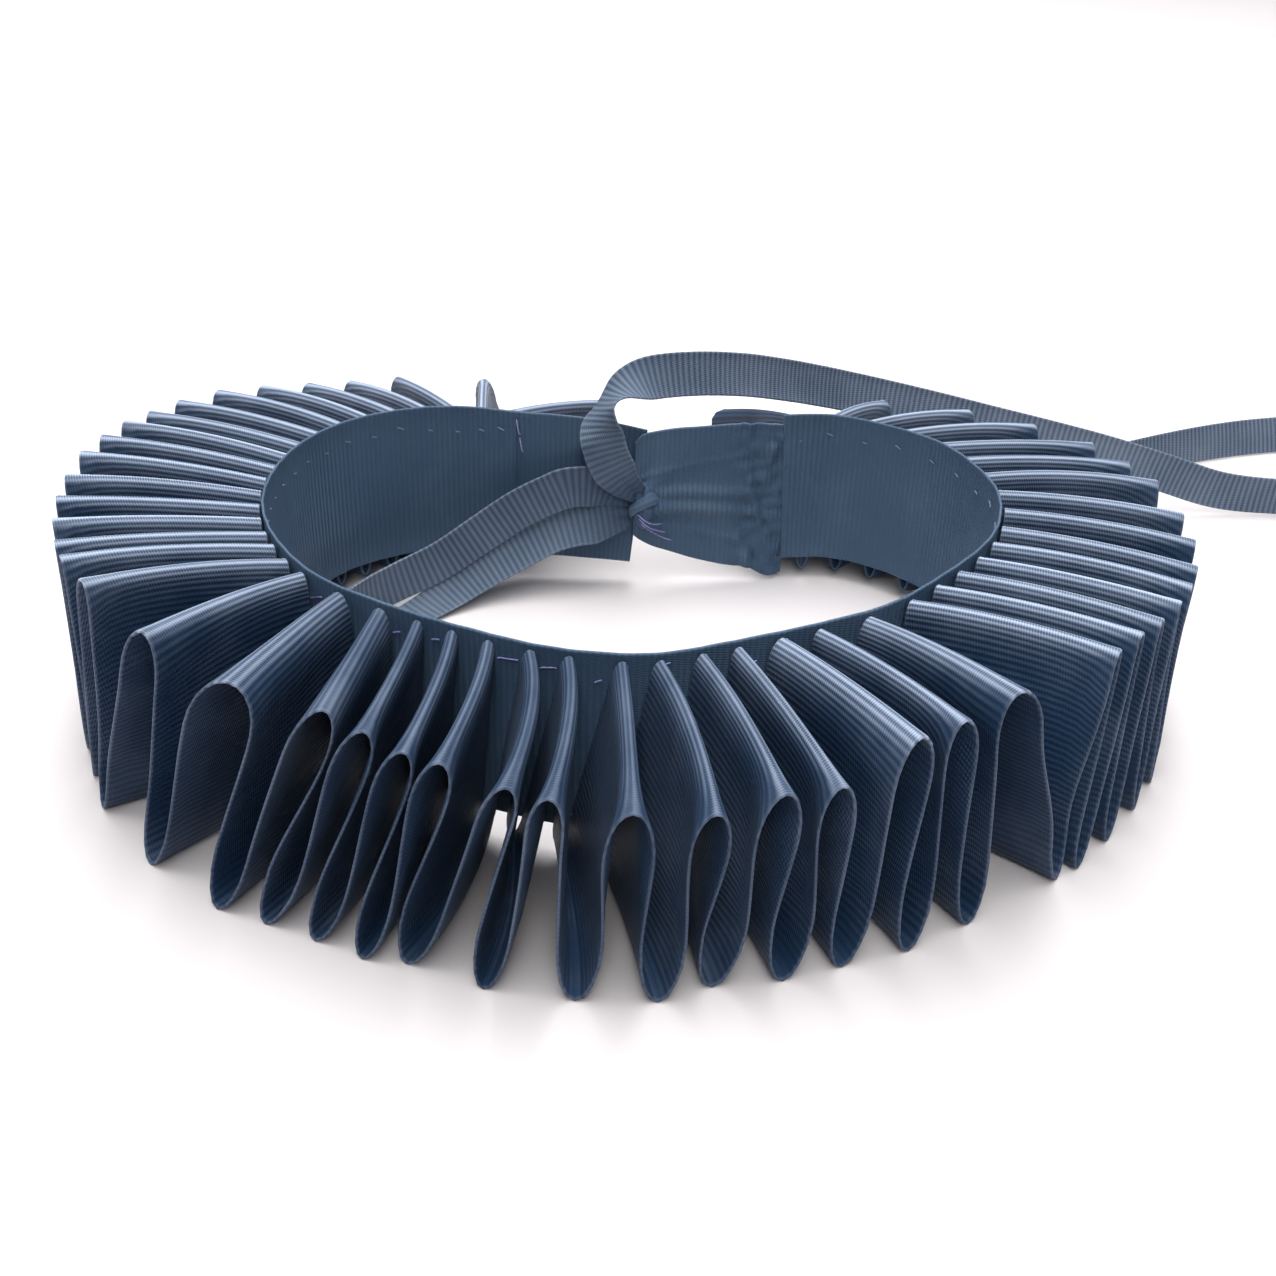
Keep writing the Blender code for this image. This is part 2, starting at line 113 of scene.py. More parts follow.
# Folds of the ruffle along the band. A bearing is the way a fold points from the
# band: 0 straight back, 90 left, 180 to the throat, 270 right.
# columns: place along the band, bearing of the ridge, bearing of the foot after it,
# height of the ridge at the rim, width of the loop at the rim, sideways bow of the
# ridge, rise of the ridge half way out, extra reach of the foot, width of the ridge
# at the band, shift of the foot along the band
# In the rows for folds 17 to 35, counted from 0, most bearings, heights and reaches
# were reckoned by a program from points read off the photograph, not chosen by hand.
FOLDS = [
    (3.5, -42, -20, 35.5, 5.0, 0.0, 0.9, 0.0, 3.0, 0.0),
    (8.5, 4, 16, 36.5, 5.0, 0.0, 0.9, 0.0, 2.5, 0.0),
    (14.5, 28, 32, 38.0, 5.0, 0.3, 0.9, 0.0, 2.5, 0.0),
    (21.0, 37, 40, 38.0, 5.0, -0.3, 0.8, 0.0, 2.5, 0.0),
    (28.0, 43, 47, 39.0, 5.0, 0.4, 1.0, 0.0, 2.5, 0.0),
    (35.0, 51, 55, 41.0, 5.0, 0.0, 1.1, 0.0, 2.5, 0.0),
    (42.0, 59, 62, 43.0, 5.0, -0.4, 0.9, 0.0, 2.5, 0.0),
    (49.0, 66, 67, 44.0, 5.0, 0.3, 1.1, 0.0, 2.5, 0.0),
    (56.0, 71, 72, 45.0, 5.0, 0.0, 0.9, 0.0, 2.5, 0.0),
    (62.5, 76, 76, 46.5, 5.0, -0.3, 0.8, 0.0, 2.5, 0.0),
    (69.0, 81, 81, 47.0, 5.0, 0.4, 1.0, 0.0, 2.5, 0.0),
    (75.5, 88, 88, 48.0, 5.0, 0.2, 0.9, 0.0, 2.5, 0.0),
    (82.0, 96, 93, 48.0, 5.0, -0.3, 0.7, 0.0, 2.5, 0.0),
    (88.5, 102, 98, 48.0, 5.0, 0.2, 0.6, 0.0, 2.5, 0.0),
    (95.0, 108, 102, 48.0, 5.0, 0.0, 0.6, 0.8, 2.5, 0.0),
    (101.5, 113, 106, 48.0, 5.0, 0.3, 0.8, 1.2, 2.5, 0.0),
    (107.5, 117, 111, 49.0, 5.0, -0.2, 0.9, 1.6, 2.5, 0.0),
    (114.5, 128.5, 118.0, 51.0, 5.5, 0.2, 1.2, 2.7, 2.6, 0.0),
    (121.0, 148.0, 135.9, 49.0, 8.5, 0.0, 0.9, 2.8, 3.6, -0.5),
    (132.0, 162.0, 147.8, 46.5, 12.5, 0.3, 0.9, 3.2, 6.0, -1.0),
    (142.0, 174.5, 148.6, 46.2, 9.5, 0.4, 0.8, 1.5, 5.0, -3.0),
    (150.3, 174.0, 152.0, 45.0, 7.5, 0.8, 0.9, 0.7, 2.5, -4.5),
    (157.6, 174.0, 155.4, 43.5, 6.5, 1.2, 0.9, 0.7, 2.5, -6.0),
    (165.0, 173.0, 155.0, 43.8, 7.2, 1.4, 0.9, -1.5, 2.5, -5.5),
    (173.0, 177.0, 165.4, 41.8, 9.0, 2.2, 1.0, -0.4, 2.5, -7.5),
    (180.0, 176.5, 176.4, 41.2, 9.0, 1.7, 1.0, -0.9, 2.5, -6.5),
    (189.2, 182.0, 185.0, 39.8, 8.0, 0.2, 0.9, -1.2, 2.5, -7.0),
    (195.6, 191.0, 188.6, 39.0, 6.4, 1.2, 0.9, -3.0, 2.5, -5.5),
    (203.3, 196.5, 196.2, 40.5, 7.6, 0.6, 0.9, -0.9, 2.5, -3.5),
    (210.2, 201.0, 201.1, 39.5, 6.6, 0.2, 0.9, -0.5, 2.4, -1.5),
    (218.8, 209.0, 207.5, 45.2, 10.0, 0.0, 0.8, 0.7, 5.0, 0.0),
    (226.8, 209.5, 214.4, 46.2, 6.8, 0.3, 0.8, -0.3, 2.8, 0.0),
    (237.5, 209.5, 232.0, 48.8, 12.0, 0.0, 0.9, 1.1, 4.5, 0.0),
    (248.5, 238.0, 226.0, 45.2, 5.0, 0.3, 0.9, 1.5, 2.8, 0.0),
    (257.0, 236.5, 231.0, 45.8, 4.5, 0.0, 0.9, 1.6, 2.5, 0.0),
    (265.0, 238.0, 238.5, 44.8, 4.5, 0.3, 0.8, 1.6, 2.5, 0.0),
    (273.0, 243, 243, 43.5, 4.5, -0.2, 0.9, 1.4, 2.5, 0.0),
    (281.0, 248, 249, 42.0, 5.0, 0.2, 1.0, 0.0, 2.5, 0.0),
    (289.0, 252, 254, 41.0, 5.0, 0.0, 0.9, 0.0, 2.5, 0.0),
    (298.0, 257, 259, 41.0, 5.5, 0.3, 0.8, 0.0, 2.5, 0.0),
    (307.0, 261, 266, 41.5, 5.5, -0.3, 1.1, 0.0, 2.5, 0.0),
    (316.0, 271, 272, 42.0, 6.0, 0.3, 1.3, 0.0, 2.5, 0.0),
    (325.0, 275, 277, 41.5, 6.0, 0.0, 1.0, 0.0, 2.5, 0.0),
    (334.0, 281, 287, 41.0, 6.0, -0.3, 0.9, 0.0, 2.5, 0.0),
    (344.0, 294, 301, 39.0, 6.0, 0.3, 0.9, 0.0, 2.5, 0.0),
    (353.0, 309, 320, 37.0, 6.0, 0.2, 0.9, 0.0, 2.5, 0.0),
    (361.5, 331, 352, 34.5, 7.0, 0.0, 0.9, 0.0, 3.0, 0.0),
    (369.0, 383, 400, 30.5, 16.5, 0.0, 0.9, 0.0, 5.0, 0.0),
]
# Feet of the waves: widest, most of the room they take, width at the band, how late they
# widen, height for their width, tallest, and how far they rise towards the band
WIDEST_FOOT = 7.2
FOOT_ROOM = 0.8
FOOT_AT_BAND = 3.0
FOOT_FLARE = 1.2
FOOT_SHAPE = 1.8
TALLEST_FOOT = 12.0
FOOT_LIFT = 2.2
# Crests: least room between two, how late they widen, the same for a broad ridge, the
# width that makes a ridge broad, height for their width, tallest
LEAST_ROOM = 0.8
FLARE = 9.0
BROAD_FLARE = 2.0
BROAD_RIDGE = 3.5
CREST_SHAPE = 1.25
TALLEST_CREST = 10.0
# Legs: how straight they leave a loop, and their distance from the band's middle line
LEG_STIFFNESS = 0.8
SEAT = 0.9
# Uneven sway of the hung cloth: size, closeness, and the height it starts at
SWAY = 0.35
SWAY_CLOSENESS = 0.035
SWAY_FROM = 6.0
# Painted highlight stripe on a crest, as a share of the ridge's width at the band. The
# crests at the throat get a weaker painted highlight than those at the sides
CREST_REACH = 0.42
THROAT_HIGHLIGHT = 0.14
THROAT_BEARING = 180.0
THROAT_SPREAD = 28.0
# Points along a ruffle wave: round a crest, round a foot, down a leg, down a cut end
CREST_STEPS = 10
FOOT_STEPS = 8
LEG_STEPS = 7
END_STEPS = 7

# Left back tab. columns: x of the lower edge, x of the upper edge, y, two heights
TAB_LEFT = [
    (-28.2, -28.2, 65.9, 5.9, 43.8),
    (-24.0, -24.0, 65.2, 6.0, 43.7),
    (-18.0, -18.0, 65.0, 6.2, 43.4),
    (-9.0, -8.0, 65.2, 5.5, 42.4),
    (0.8, 4.2, 65.4, 4.6, 39.8),
]
TAB_BELLY = 0.35
# Right back tab, from the band to the knot. columns: x, y, two heights
TAB_RIGHT = [
    (38.8, 66.9, 1.6, 41.6),
    (34.5, 66.2, 1.4, 41.7),
    (30.0, 65.9, 3.4, 41.9),
    (25.0, 65.7, 4.0, 41.8),
    (17.0, 65.5, 5.8, 41.0),
    (11.0, 65.2, 7.8, 40.5),
    (6.0, 64.4, 9.8, 39.9),
    (2.9, 63.5, 12.0, 39.4),
    (1.3, 62.9, 13.8, 37.6),
]
# Long folds from the knot across the tab. columns: height, slope, size
TAB_FOLDS = [(25.0, -0.05, 1.3), (21.0, -0.07, 1.5), (29.0, 0.2, 0.5), (17.5, -0.26, 0.6)]
TAB_FOLD_DEPTH = 0.75
TAB_FOLD_END = 33.0
# Ruching at the band end of the tab: middle, reach, depth, and depth of its cross folds
RUCHE_MIDDLE = 33.0
RUCHE_REACH = 7.2
RUCHE_DEPTH = 1.1
RUCHE_RIPPLE = 0.4
# Small rays that fan out of the knot: depth, reach, how many to a turn
RAY_DEPTH = 0.6
RAY_REACH = 8.0
RAYS = 8.0
# Where the knot draws the tab in: height, depth, reach
PINCH_HEIGHT = 22.5
PINCH_DEPTH = 2.6
PINCH_REACH = 7.5
# The tab's folds get a painted highlight and its ruching a painted shade
TAB_FOLD_HIGHLIGHT = 0.12
RUCHE_SHADE = 0.22

# Knot: half height, the height at which it would close, half width and half depth,
# depth and closeness of its creases
KNOT_MIDDLE = Vector((3.6, 60.9, 22.0))
KNOT_HALF_HEIGHT = 5.9
KNOT_CLOSES = 6.4
KNOT_RADII = (2.7, 2.5)
KNOT_CREASE = 0.16
KNOT_CREASES = 3.6
KNOT_RINGS = 44
KNOT_SIDES = 36
# The turn that crosses the knot: slope, half width, thickness, stand-off, and how much paler its
# outer face is
TURN_SLOPE = 2.6
TURN_HALF_WIDTH = 1.7
TURN_THICKNESS = 0.45
TURN_STAND = 0.5
TURN_OUTER_PALE = 0.1
TURN_RINGS = 60
TURN_SIDES = 14
# Weave on the knot, in millimetres of ribbon to a step round it and along it
KNOT_WEAVE = (0.4, 0.3)

# Tails: x, y, z of the middle, then the direction from edge to edge
TIE_ARCH = [
    (2.4, 59.4, 25.0, 0.8, 0.0, 0.6),
    (-2.0, 58.4, 29.7, 0.83, 0.0, 0.55),
    (-4.9, 58.2, 34.7, 0.94, 0.0, 0.34),
    (-6.4, 58.2, 39.5, 1.0, 0.0, 0.1),
    (-7.2, 59.2, 43.4, 0.81, -0.52, 0.24),
    (-6.5, 61.0, 46.5, 0.5, -0.74, 0.4),
    (-4.2, 63.2, 49.0, 0.28, -0.92, 0.1),
    (0.0, 66.0, 51.0, 0.3, -0.81, -0.44),
    (6.4, 69.4, 51.7, 0.05, -0.5, -0.86),
    (16.4, 74.0, 51.0, 0.0, -0.42, -0.9),
    (27.1, 80.5, 48.6, 0.0, -0.42, -0.9),
    (36.5, 87.0, 45.4, 0.0, -0.42, -0.9),
    (49.2, 97.0, 40.0, 0.0, -0.42, -0.9),
    (64.0, 106.0, 34.1, 0.0, -0.42, -0.9),
    (81.3, 110.0, 29.0, 0.0, -0.4, -0.9),
    (98.3, 111.0, 24.7, 0.0, -0.4, -0.9),
    (115.4, 111.0, 20.7, 0.0, -0.35, -0.9),
    (131.0, 111.0, 16.8, 0.0, -0.3, -0.95),
    (147.5, 111.0, 12.0, 0.0, -0.2, -1.0),
    (164.5, 110.8, 7.0, 0.0, -0.1, -1.0),
    (181.0, 110.0, 5.7, 0.0, 0.0, -1.0),
    (196.0, 110.5, 5.7, 0.0, 0.0, -1.0),
]
TIE_BACK = [
    (94.48, 83.71, 5.7, 0.0, 0.0, 1.0),
    (99.6, 92.6, 5.7, 0.0, 0.0, 1.0),
    (106.2, 103.0, 5.7, 0.0, 0.0, 1.0),
    (114.0, 113.5, 5.7, 0.0, 0.0, 1.0),
    (131.0, 126.0, 5.7, 0.0, 0.1, 1.0),
    (148.0, 135.5, 5.6, 0.0, 0.2, 1.0),
    (165.5, 144.5, 5.5, 0.0, 0.3, 1.0),
    (183.0, 152.0, 5.4, 0.0, 0.4, 1.0),
    (199.0, 157.0, 5.2, 0.0, 0.5, 1.0),
    (214.0, 160.0, 5.0, 0.0, 0.6, 1.0),
]
TIE_INNER_UPPER = [
    (0.4, 61.2, 23.4, 0.0, 0.0, 1.0),
    (-6.9, 61.4, 26.2, 0.0, 0.0, 1.0),
    (-13.9, 61.0, 26.4, 0.0, 0.0, 1.0),
    (-18.6, 60.6, 24.8, 0.0, 0.0, 1.0),
    (-26.4, 59.0, 21.2, 0.0, 0.0, 1.0),
    (-35.4, 56.2, 15.8, 0.0, 0.0, 1.0),
    (-44.9, 52.2, 10.4, 0.0, 0.0, 1.0),
    (-54.0, 48.0, 7.2, 0.0, 0.0, 1.0),
    (-61.0, 42.0, 5.7, 0.0, 0.0, 1.0),
    (-65.5, 33.0, 5.6, 0.0, 0.0, 1.0),
    (-67.0, 23.0, 5.6, 0.0, 0.0, 1.0),
]
TIE_INNER_LOWER = [
    (0.2, 60.6, 19.0, 0.0, 0.2, 1.0),
    (-6.5, 60.0, 18.0, 0.0, 0.5, 0.9),
    (-12.0, 59.8, 16.8, 0.0, 0.75, 0.65),
    (-18.3, 59.2, 14.6, -0.1, 0.85, 0.5),
    (-26.0, 57.4, 11.0, -0.2, 0.85, 0.5),
    (-35.6, 53.8, 6.4, -0.35, 0.85, 0.4),
    (-43.6, 49.0, 2.8, -0.5, 0.8, 0.2),
    (-50.5, 43.0, 0.9, -0.7, 0.75, 0.0),
    (-57.0, 36.0, 0.8, -0.7, 0.7, 0.0),
]
# Hand stitches on the outside of the band. columns: (place, height) of both ends
BAND_STITCHES = [
    ((121.0, 37.5), (126.5, 40.0)),
    ((144.5, 38.7), (146.0, 39.3)),
    ((153.0, 39.8), (154.6, 40.2)),
    ((166.5, 39.8), (170.5, 40.2)),
    ((174.6, 39.6), (177.6, 40.1)),
    ((184.4, 38.2), (185.6, 38.8)),
    ((180.4, 9.0), (181.6, 9.3)),
    ((196.2, 41.8), (197.4, 42.2)),
    ((213.0, 38.8), (214.2, 39.3)),
]
# A stitch on the band. columns: share of its length, height of the thread's middle
STITCH_ARC = [(0.0, -0.25), (0.25, 0.1), (0.5, 0.16), (0.75, 0.1), (1.0, -0.25)]
OUTER_STITCH_FACE = 0.36
INNER_STITCH_FACE = -0.4
TACK_HEIGHT = 38.3
THREAD_RADIUS = 0.16
THREAD_SIDES = 6
# Stitches that hold the left tab on the band, and thread wound round the knot
TAB_STITCHES = [
    [(-27.0, 66.0, 41.8), (-26.8, 64.3, 41.2), (-26.3, 64.1, 38.6), (-26.1, 66.0, 38.0)],
    [(-26.2, 66.0, 37.4), (-26.1, 64.3, 36.9), (-25.6, 64.1, 34.2), (-25.5, 66.0, 33.6)],
]
KNOT_STITCHES = [
    [(2.2, 58.6, 20.8), (3.4, 57.7, 20.0), (5.0, 58.0, 18.8), (6.6, 59.8, 17.6), (8.4, 62.9, 16.4)],
    [(2.6, 58.6, 19.6), (3.9, 57.8, 18.6), (5.4, 58.5, 17.2), (7.2, 60.6, 15.6), (9.2, 63.2, 13.9)],
    [(3.2, 58.8, 18.2), (4.6, 58.5, 17.0), (6.4, 60.4, 15.0), (8.6, 62.4, 12.9), (10.8, 64.0, 11.4)],
]
# Tails by the knot: share of their width there, length over which they open out, depth
# of the creases. Then the cup across an open tail
TIE_GATHER = 0.5
TIE_GATHER_LENGTH = 9.0
TIE_CREASE = 1.6
TIE_CUP = 0.25
# The tails are rubbed a little all over, and carry painted shade in the creases by the knot
TIE_WEAR = 0.27
KNOT_SHADE = 0.3
KNOT_SHADE_REACH = 18.0

# Camera: place on the grid, angles in degrees, focal length and picture width in the
# photograph's pixels, film width and near and far ends
CAMERA_PLACE = Vector((-6.55, -270.39, 177.0))
CAMERA_YAW = 1.716
CAMERA_PITCH = 30.07
CAMERA_ROLL = 1.864
FOCUS_PIXELS = 1509.8
PICTURE_PIXELS = 1276
FILM_WIDTH = 36.0
NEAR_END = 0.01
FAR_END = 20.0

# Lamps in metres and watts. columns: name, place, aim, width and length, power
LAMPS = [
    ("front_strip", (0.0, -1.3, 1.5), (0.0, 0.1, 0.0), (0.6, 1.4), 18.0),
    ("overhead_strip", (0.0, 0.5, 1.7), (0.0, 0.3, 0.0), (0.8, 2.4), 56.0),
    ("left_softbox", (-1.5, 0.1, 0.9), (0.0, 0.0, 0.03), (0.8, 0.8), 9.0),
    ("right_softbox", (1.5, 0.3, 0.9), (0.0, 0.0, 0.03), (0.8, 0.8), 6.0),
]
ROOM_STRENGTH = 0.26
# Table in metres: its side, and how far its middle lies behind the collar
TABLE_SIDE = 6.0
TABLE_BACK = 1.2


# Materials


def shade(code):
    """An sRGB hex colour as linear red, green, blue, alpha."""
    values = [int(code[i : i + 2], 16) / 255 for i in (1, 3, 5)]
    linear = [v / 12.92 if v <= 0.04045 else ((v + 0.055) / 1.055) ** 2.4 for v in values]
    return (*linear, 1.0)


def add_node(tree, kind, settings=None, links=None):
    """One node with its properties or socket values set, and its inputs linked."""
    node = tree.nodes.new(kind)
    for key, value in (settings or {}).items():
        if isinstance(key, str) and hasattr(node, key):
            setattr(node, key, value)
        else:
            node.inputs[key].default_value = value
    for key, source in (links or {}).items():
        tree.links.new(source, node.inputs[key])
    return node


def new_finish(name):
    """An empty material with its shader and output in place."""
    material = bpy.data.materials.new(name)
    material.use_nodes = True
    tree = material.node_tree
    return material, tree, tree.nodes["Principled BSDF"]


def grosgrain(name, deep, painted_light, rib_pitch, rib_height):
    """Grosgrain: polyester ribbon with thick cross ribs under fine lengthwise threads.

    The UV map is in metres: x runs along the ribbon, y across it. The ribs catch the
    light one by one and the threads over them read as rows of tiny beads, painted
    paler on their raised parts and darker between them as painted shade. The tops of
    the folds get a painted highlight on the ribs alone, and the selvedge is a smooth
    line painted a little paler as a painted highlight.
    """
    material, tree, shader = new_finish(name)

    def reckon(operation, links, values=None, clamp=False):
        settings = {"operation": operation, "use_clamp": clamp, **(values or {})}
        return add_node(tree, "ShaderNodeMath", settings, links).outputs[0]

    def spread(source, low, high, to_low, to_high):
        settings = {"From Min": low, "From Max": high, "To Min": to_low, "To Max": to_high}
        return add_node(tree, "ShaderNodeMapRange", settings, {"Value": source}).outputs[0]

    place = add_node(tree, "ShaderNodeUVMap", {"uv_map": "cloth"})
    split = add_node(tree, "ShaderNodeSeparateXYZ", links={0: place.outputs[0]})
    solid = add_node(tree, "ShaderNodeTexCoord").outputs["Object"]
    edge = add_node(tree, "ShaderNodeAttribute", {"attribute_name": "selvedge"}).outputs["Fac"]
    crest = add_node(tree, "ShaderNodeAttribute", {"attribute_name": "crest"}).outputs["Fac"]

    turn = 2 * math.pi / MM
    ribs = reckon("MULTIPLY", {0: split.outputs[0]}, {1: turn / rib_pitch})
    rib_wave = reckon("COSINE", {0: ribs})
    half_ribs = reckon("MULTIPLY", {0: ribs}, {1: 0.5})
    threads = reckon("MULTIPLY_ADD", {0: split.outputs[1], 2: half_ribs}, {1: turn / THREAD_PITCH})
    weave = reckon("MULTIPLY_ADD", {0: reckon("COSINE", {0: threads}), 2: rib_wave}, {1: 0.5})
    height = reckon("MULTIPLY", {0: weave, 1: spread(edge, 0.0, 1.0, 1.0, 0.15)})

    cloud = add_node(
        tree,
        "ShaderNodeTexNoise",
        {"Scale": 45.0, "Detail": 3.0, "Roughness": 0.6},
        {"Vector": solid},
    )
    patches = spread(cloud.outputs["Fac"], 0.3, 0.7, -0.07, 0.07)
    # Painted shade and highlight in the weave: paler on the raised ribs and threads, darker between
    # them; the cloud patches add random tone
    tone = reckon("ADD", {0: spread(weave, -1.2, 1.2, -0.03, 0.055), 1: patches})
    # Painted highlight on the crests, strongest on the raised ribs
    painted_highlight = reckon("MULTIPLY", {0: crest, 1: spread(weave, -1.0, 0.9, 0.22, 0.98)})
    paler = reckon("ADD", {0: tone, 1: painted_highlight})
    # The selvedge is painted a little paler, a painted highlight along the edge
    share = reckon("MULTIPLY_ADD", {0: edge, 2: paler}, {1: 0.1}, clamp=True)
    colour = add_node(tree, "ShaderNodeMix", {"data_type": "RGBA"}, {"Factor": share})
    colour.inputs[6].default_value = shade(deep)
    colour.inputs[7].default_value = shade(painted_light)
    bump = add_node(
        tree,
        "ShaderNodeBump",
        {"Strength": 1.0, "Distance": rib_height * MM},
        {"Height": height},
    )
    tree.links.new(colour.outputs[2], shader.inputs["Base Color"])
    tree.links.new(bump.outputs["Normal"], shader.inputs["Normal"])
    shader.inputs["Roughness"].default_value = 0.5
    shader.inputs["Specular IOR Level"].default_value = 0.2
    shader.inputs["Sheen Weight"].default_value = 0.08
    shader.inputs["Sheen Roughness"].default_value = 0.35
    shader.inputs["Sheen Tint"].default_value = shade("#8fa0b8")
    return material


def sewing_thread(name, dye):
    """Polyester sewing thread: slightly glossy, its twist seen as fine slanting lines."""
    material, tree, shader = new_finish(name)
    place = add_node(tree, "ShaderNodeTexCoord")
    twist = add_node(
        tree,
        "ShaderNodeTexWave",
        {"wave_type": "BANDS", "bands_direction": "DIAGONAL", "Scale": 700.0},
        {"Vector": place.outputs["Object"]},
    )
    bump = add_node(
        tree,
        "ShaderNodeBump",
        {"Strength": 0.5, "Distance": 0.1 * MM},
        {"Height": twist.outputs["Fac"]},
    )
    tree.links.new(bump.outputs["Normal"], shader.inputs["Normal"])
    shader.inputs["Base Color"].default_value = shade(dye)
    shader.inputs["Roughness"].default_value = 0.45
    return material


def table_paint():
    """Matt white laminate of the table: almost no texture, slightly warm."""
    material, tree, shader = new_finish("matt_white_table")
    place = add_node(tree, "ShaderNodeTexCoord").outputs["Object"]
    grain = add_node(tree, "ShaderNodeTexNoise", {"Scale": 60.0}, {"Vector": place})
    bump = add_node(
        tree,
        "ShaderNodeBump",
        {"Strength": 0.05, "Distance": 0.2 * MM},
        {"Height": grain.outputs["Fac"]},
    )
    tree.links.new(bump.outputs["Normal"], shader.inputs["Normal"])
    shader.inputs["Base Color"].default_value = shade("#d4cfcf")
    shader.inputs["Roughness"].default_value = 0.7
    return material


# Ribbon forms


def spline(rows, steps):
    """Smooth run of rows (Catmull-Rom) that passes through every given row."""
    first = [2 * a - b for a, b in zip(rows[0], rows[1])]
    last = [2 * a - b for a, b in zip(rows[-1], rows[-2])]
    ends = [first, *rows, last]
    run = []
    for before, start, stop, after in zip(ends, ends[1:], ends[2:], ends[3:]):
        for step in range(steps):
            t = step / steps
            row = []
            for a, b, c, d in zip(before, start, stop, after):
                bend = (2 * a - 5 * b + 4 * c - d) * t * t + (3 * b - a - 3 * c + d) * t**3
                row.append(0.5 * (2 * b + (c - a) * t + bend))
            run.append(row)
    run.append(list(rows[-1]))
    return run


class Track:
    """A plan curve that is read by the distance along it."""

    def __init__(self, rows, steps=16):
        self.points = [Vector(row[:2]) for row in spline(rows, steps)]
        self.marks = [0.0]
        for a, b in zip(self.points, self.points[1:]):
            self.marks.append(self.marks[-1] + (b - a).length)
        self.length = self.marks[-1]

    def point(self, place):
        index = 1
        while index < len(self.marks) - 1 and self.marks[index] < place:
            index += 1
        start, stop = self.marks[index - 1], self.marks[index]
        share = (place - start) / (stop - start)
        return self.points[index - 1].lerp(self.points[index], share)

    def outward(self, place):
        along = self.point(place + 1.0) - self.point(place - 1.0)
        return Vector((along.y, -along.x)).normalized()


def set_down(name, shell, finish):
    """A finished piece with one material, on the collar's one body."""
    mesh = bpy.data.meshes.new(name)
    shell.to_mesh(mesh)
    shell.free()
    mesh.materials.append(finish)
    piece = bpy.data.objects.new(name, mesh)
    bpy.context.scene.collection.objects.link(piece)
    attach(piece, "root")
    return piece


def weave_ribbon(name, grid, finish, crest=None, body=RIBBON_BODY, selvedge=RIBBON_SELVEDGE):
    """Closed ribbon round a grid of middle points: rows along it, columns across it.

    It is thin in the body and beaded along both selvedges. The UV map "cloth" holds
    the distance along and across in metres.
    """
    rows, columns = len(grid), len(grid[0])
    across = [0.0]
    middle_row = grid[rows // 2]
    for a, b in zip(middle_row, middle_row[1:]):
        across.append(across[-1] + (b - a).length)
    width = across[-1]
    along = [0.0]
    picks = range(0, columns, max(1, columns // 4))
    for a, b in zip(grid, grid[1:]):
        along.append(along[-1] + sum((b[j] - a[j]).length for j in picks) / len(picks))

    def normal(i, j):
        down = grid[min(i + 1, rows - 1)][j] - grid[max(i - 1, 0)][j]
        over = grid[i][min(j + 1, columns - 1)] - grid[i][max(j - 1, 0)]
        return down.cross(over).normalized()

    def edge_share(j):
        reach = min(across[j], width - across[j])
        return max(0.0, 1.0 - reach / SELVEDGE_REACH)

    shell = bmesh.new()
    cloth = shell.loops.layers.uv.new("cloth")
    edge_layer = shell.verts.layers.float.new("selvedge")
    crest_layer = shell.verts.layers.float.new("crest")
    marks = {}
    skins = []
    for side in (1.0, -1.0):
        skin = []
        for i in range(rows):
            line = []
            for j in range(columns):
                share = edge_share(j)
                thick = body + (selvedge - body) * (share > 0.0)
                if j in (0, columns - 1):
                    thick = selvedge * LIP_THICKNESS
                point = grid[i][j] + normal(i, j) * (side * thick / 2)
                vertex = shell.verts.new((point - CENTRE) * MM)
                vertex[edge_layer] = share
                vertex[crest_layer] = crest[i][j] if crest else 0.0
                marks[vertex] = (along[i] * MM, across[j] * MM)
                line.append(vertex)
            skin.append(line)
        skins.append(skin)
    front, back = skins
    for i in range(rows - 1):
        for j in range(columns - 1):
            shell.faces.new((front[i][j], front[i + 1][j], front[i + 1][j + 1], front[i][j + 1]))
            shell.faces.new((back[i][j], back[i][j + 1], back[i + 1][j + 1], back[i + 1][j]))
    for j in (0, columns - 1):
        for i in range(rows - 1):
            shell.faces.new((front[i][j], front[i + 1][j], back[i + 1][j], back[i][j]))
    for i in (0, rows - 1):
        for j in range(columns - 1):
            shell.faces.new((front[i][j], front[i][j + 1], back[i][j + 1], back[i][j]))
    bmesh.ops.recalc_face_normals(shell, faces=shell.faces)
    for face in shell.faces:
        face.smooth = True
        for loop in face.loops:
            loop[cloth].uv = marks[loop.vert]
    return set_down(name, shell, finish), along[-1] * MM


def columns_across(width, inner):
    """Shares across a ribbon: close together at the selvedges, even between them."""
    edge = SELVEDGE_REACH / width
    middle = [edge + (1 - 2 * edge) * k / inner for k in range(inner + 1)]
    return [0.0, edge * LIP_PLACE, *middle, 1 - edge * LIP_PLACE, 1.0]


def heading(bearing):
    """Plan directions of a bearing: the way out, and square to it on along the band."""
    turn = math.radians(bearing)
    outward = Vector((-math.sin(turn), math.cos(turn)))
    onward = Vector((-math.cos(turn), -math.sin(turn)))
    return outward, onward


def fold_line(track, place, bearing, bow=0.0, reach=0.0, lean=0.0):
    """A fold's plan line: start, way out, ways along, bow, length, shift at the band."""
    outward, onward = heading(bearing)
    facing = track.outward(place)
    inner = track.point(place) + facing * SEAT
    along_band = Vector((-facing.y, facing.x))
    return inner, outward, along_band, onward, bow, RUFFLE_WIDTH + reach, lean


def on_fold(line, share, across):
    """Plan point at a share of the way out, moved sideways by so much along."""
    inner, outward, along_band, onward, bow, length, lean = line
    side = along_band.lerp(onward, min(1.0, share * 1.6))
    bend = bow * 4 * share * (1 - share)
    shift = along_band * (lean * (1 - share))
    return inner + outward * (length * share) + side * across + onward * bend + shift


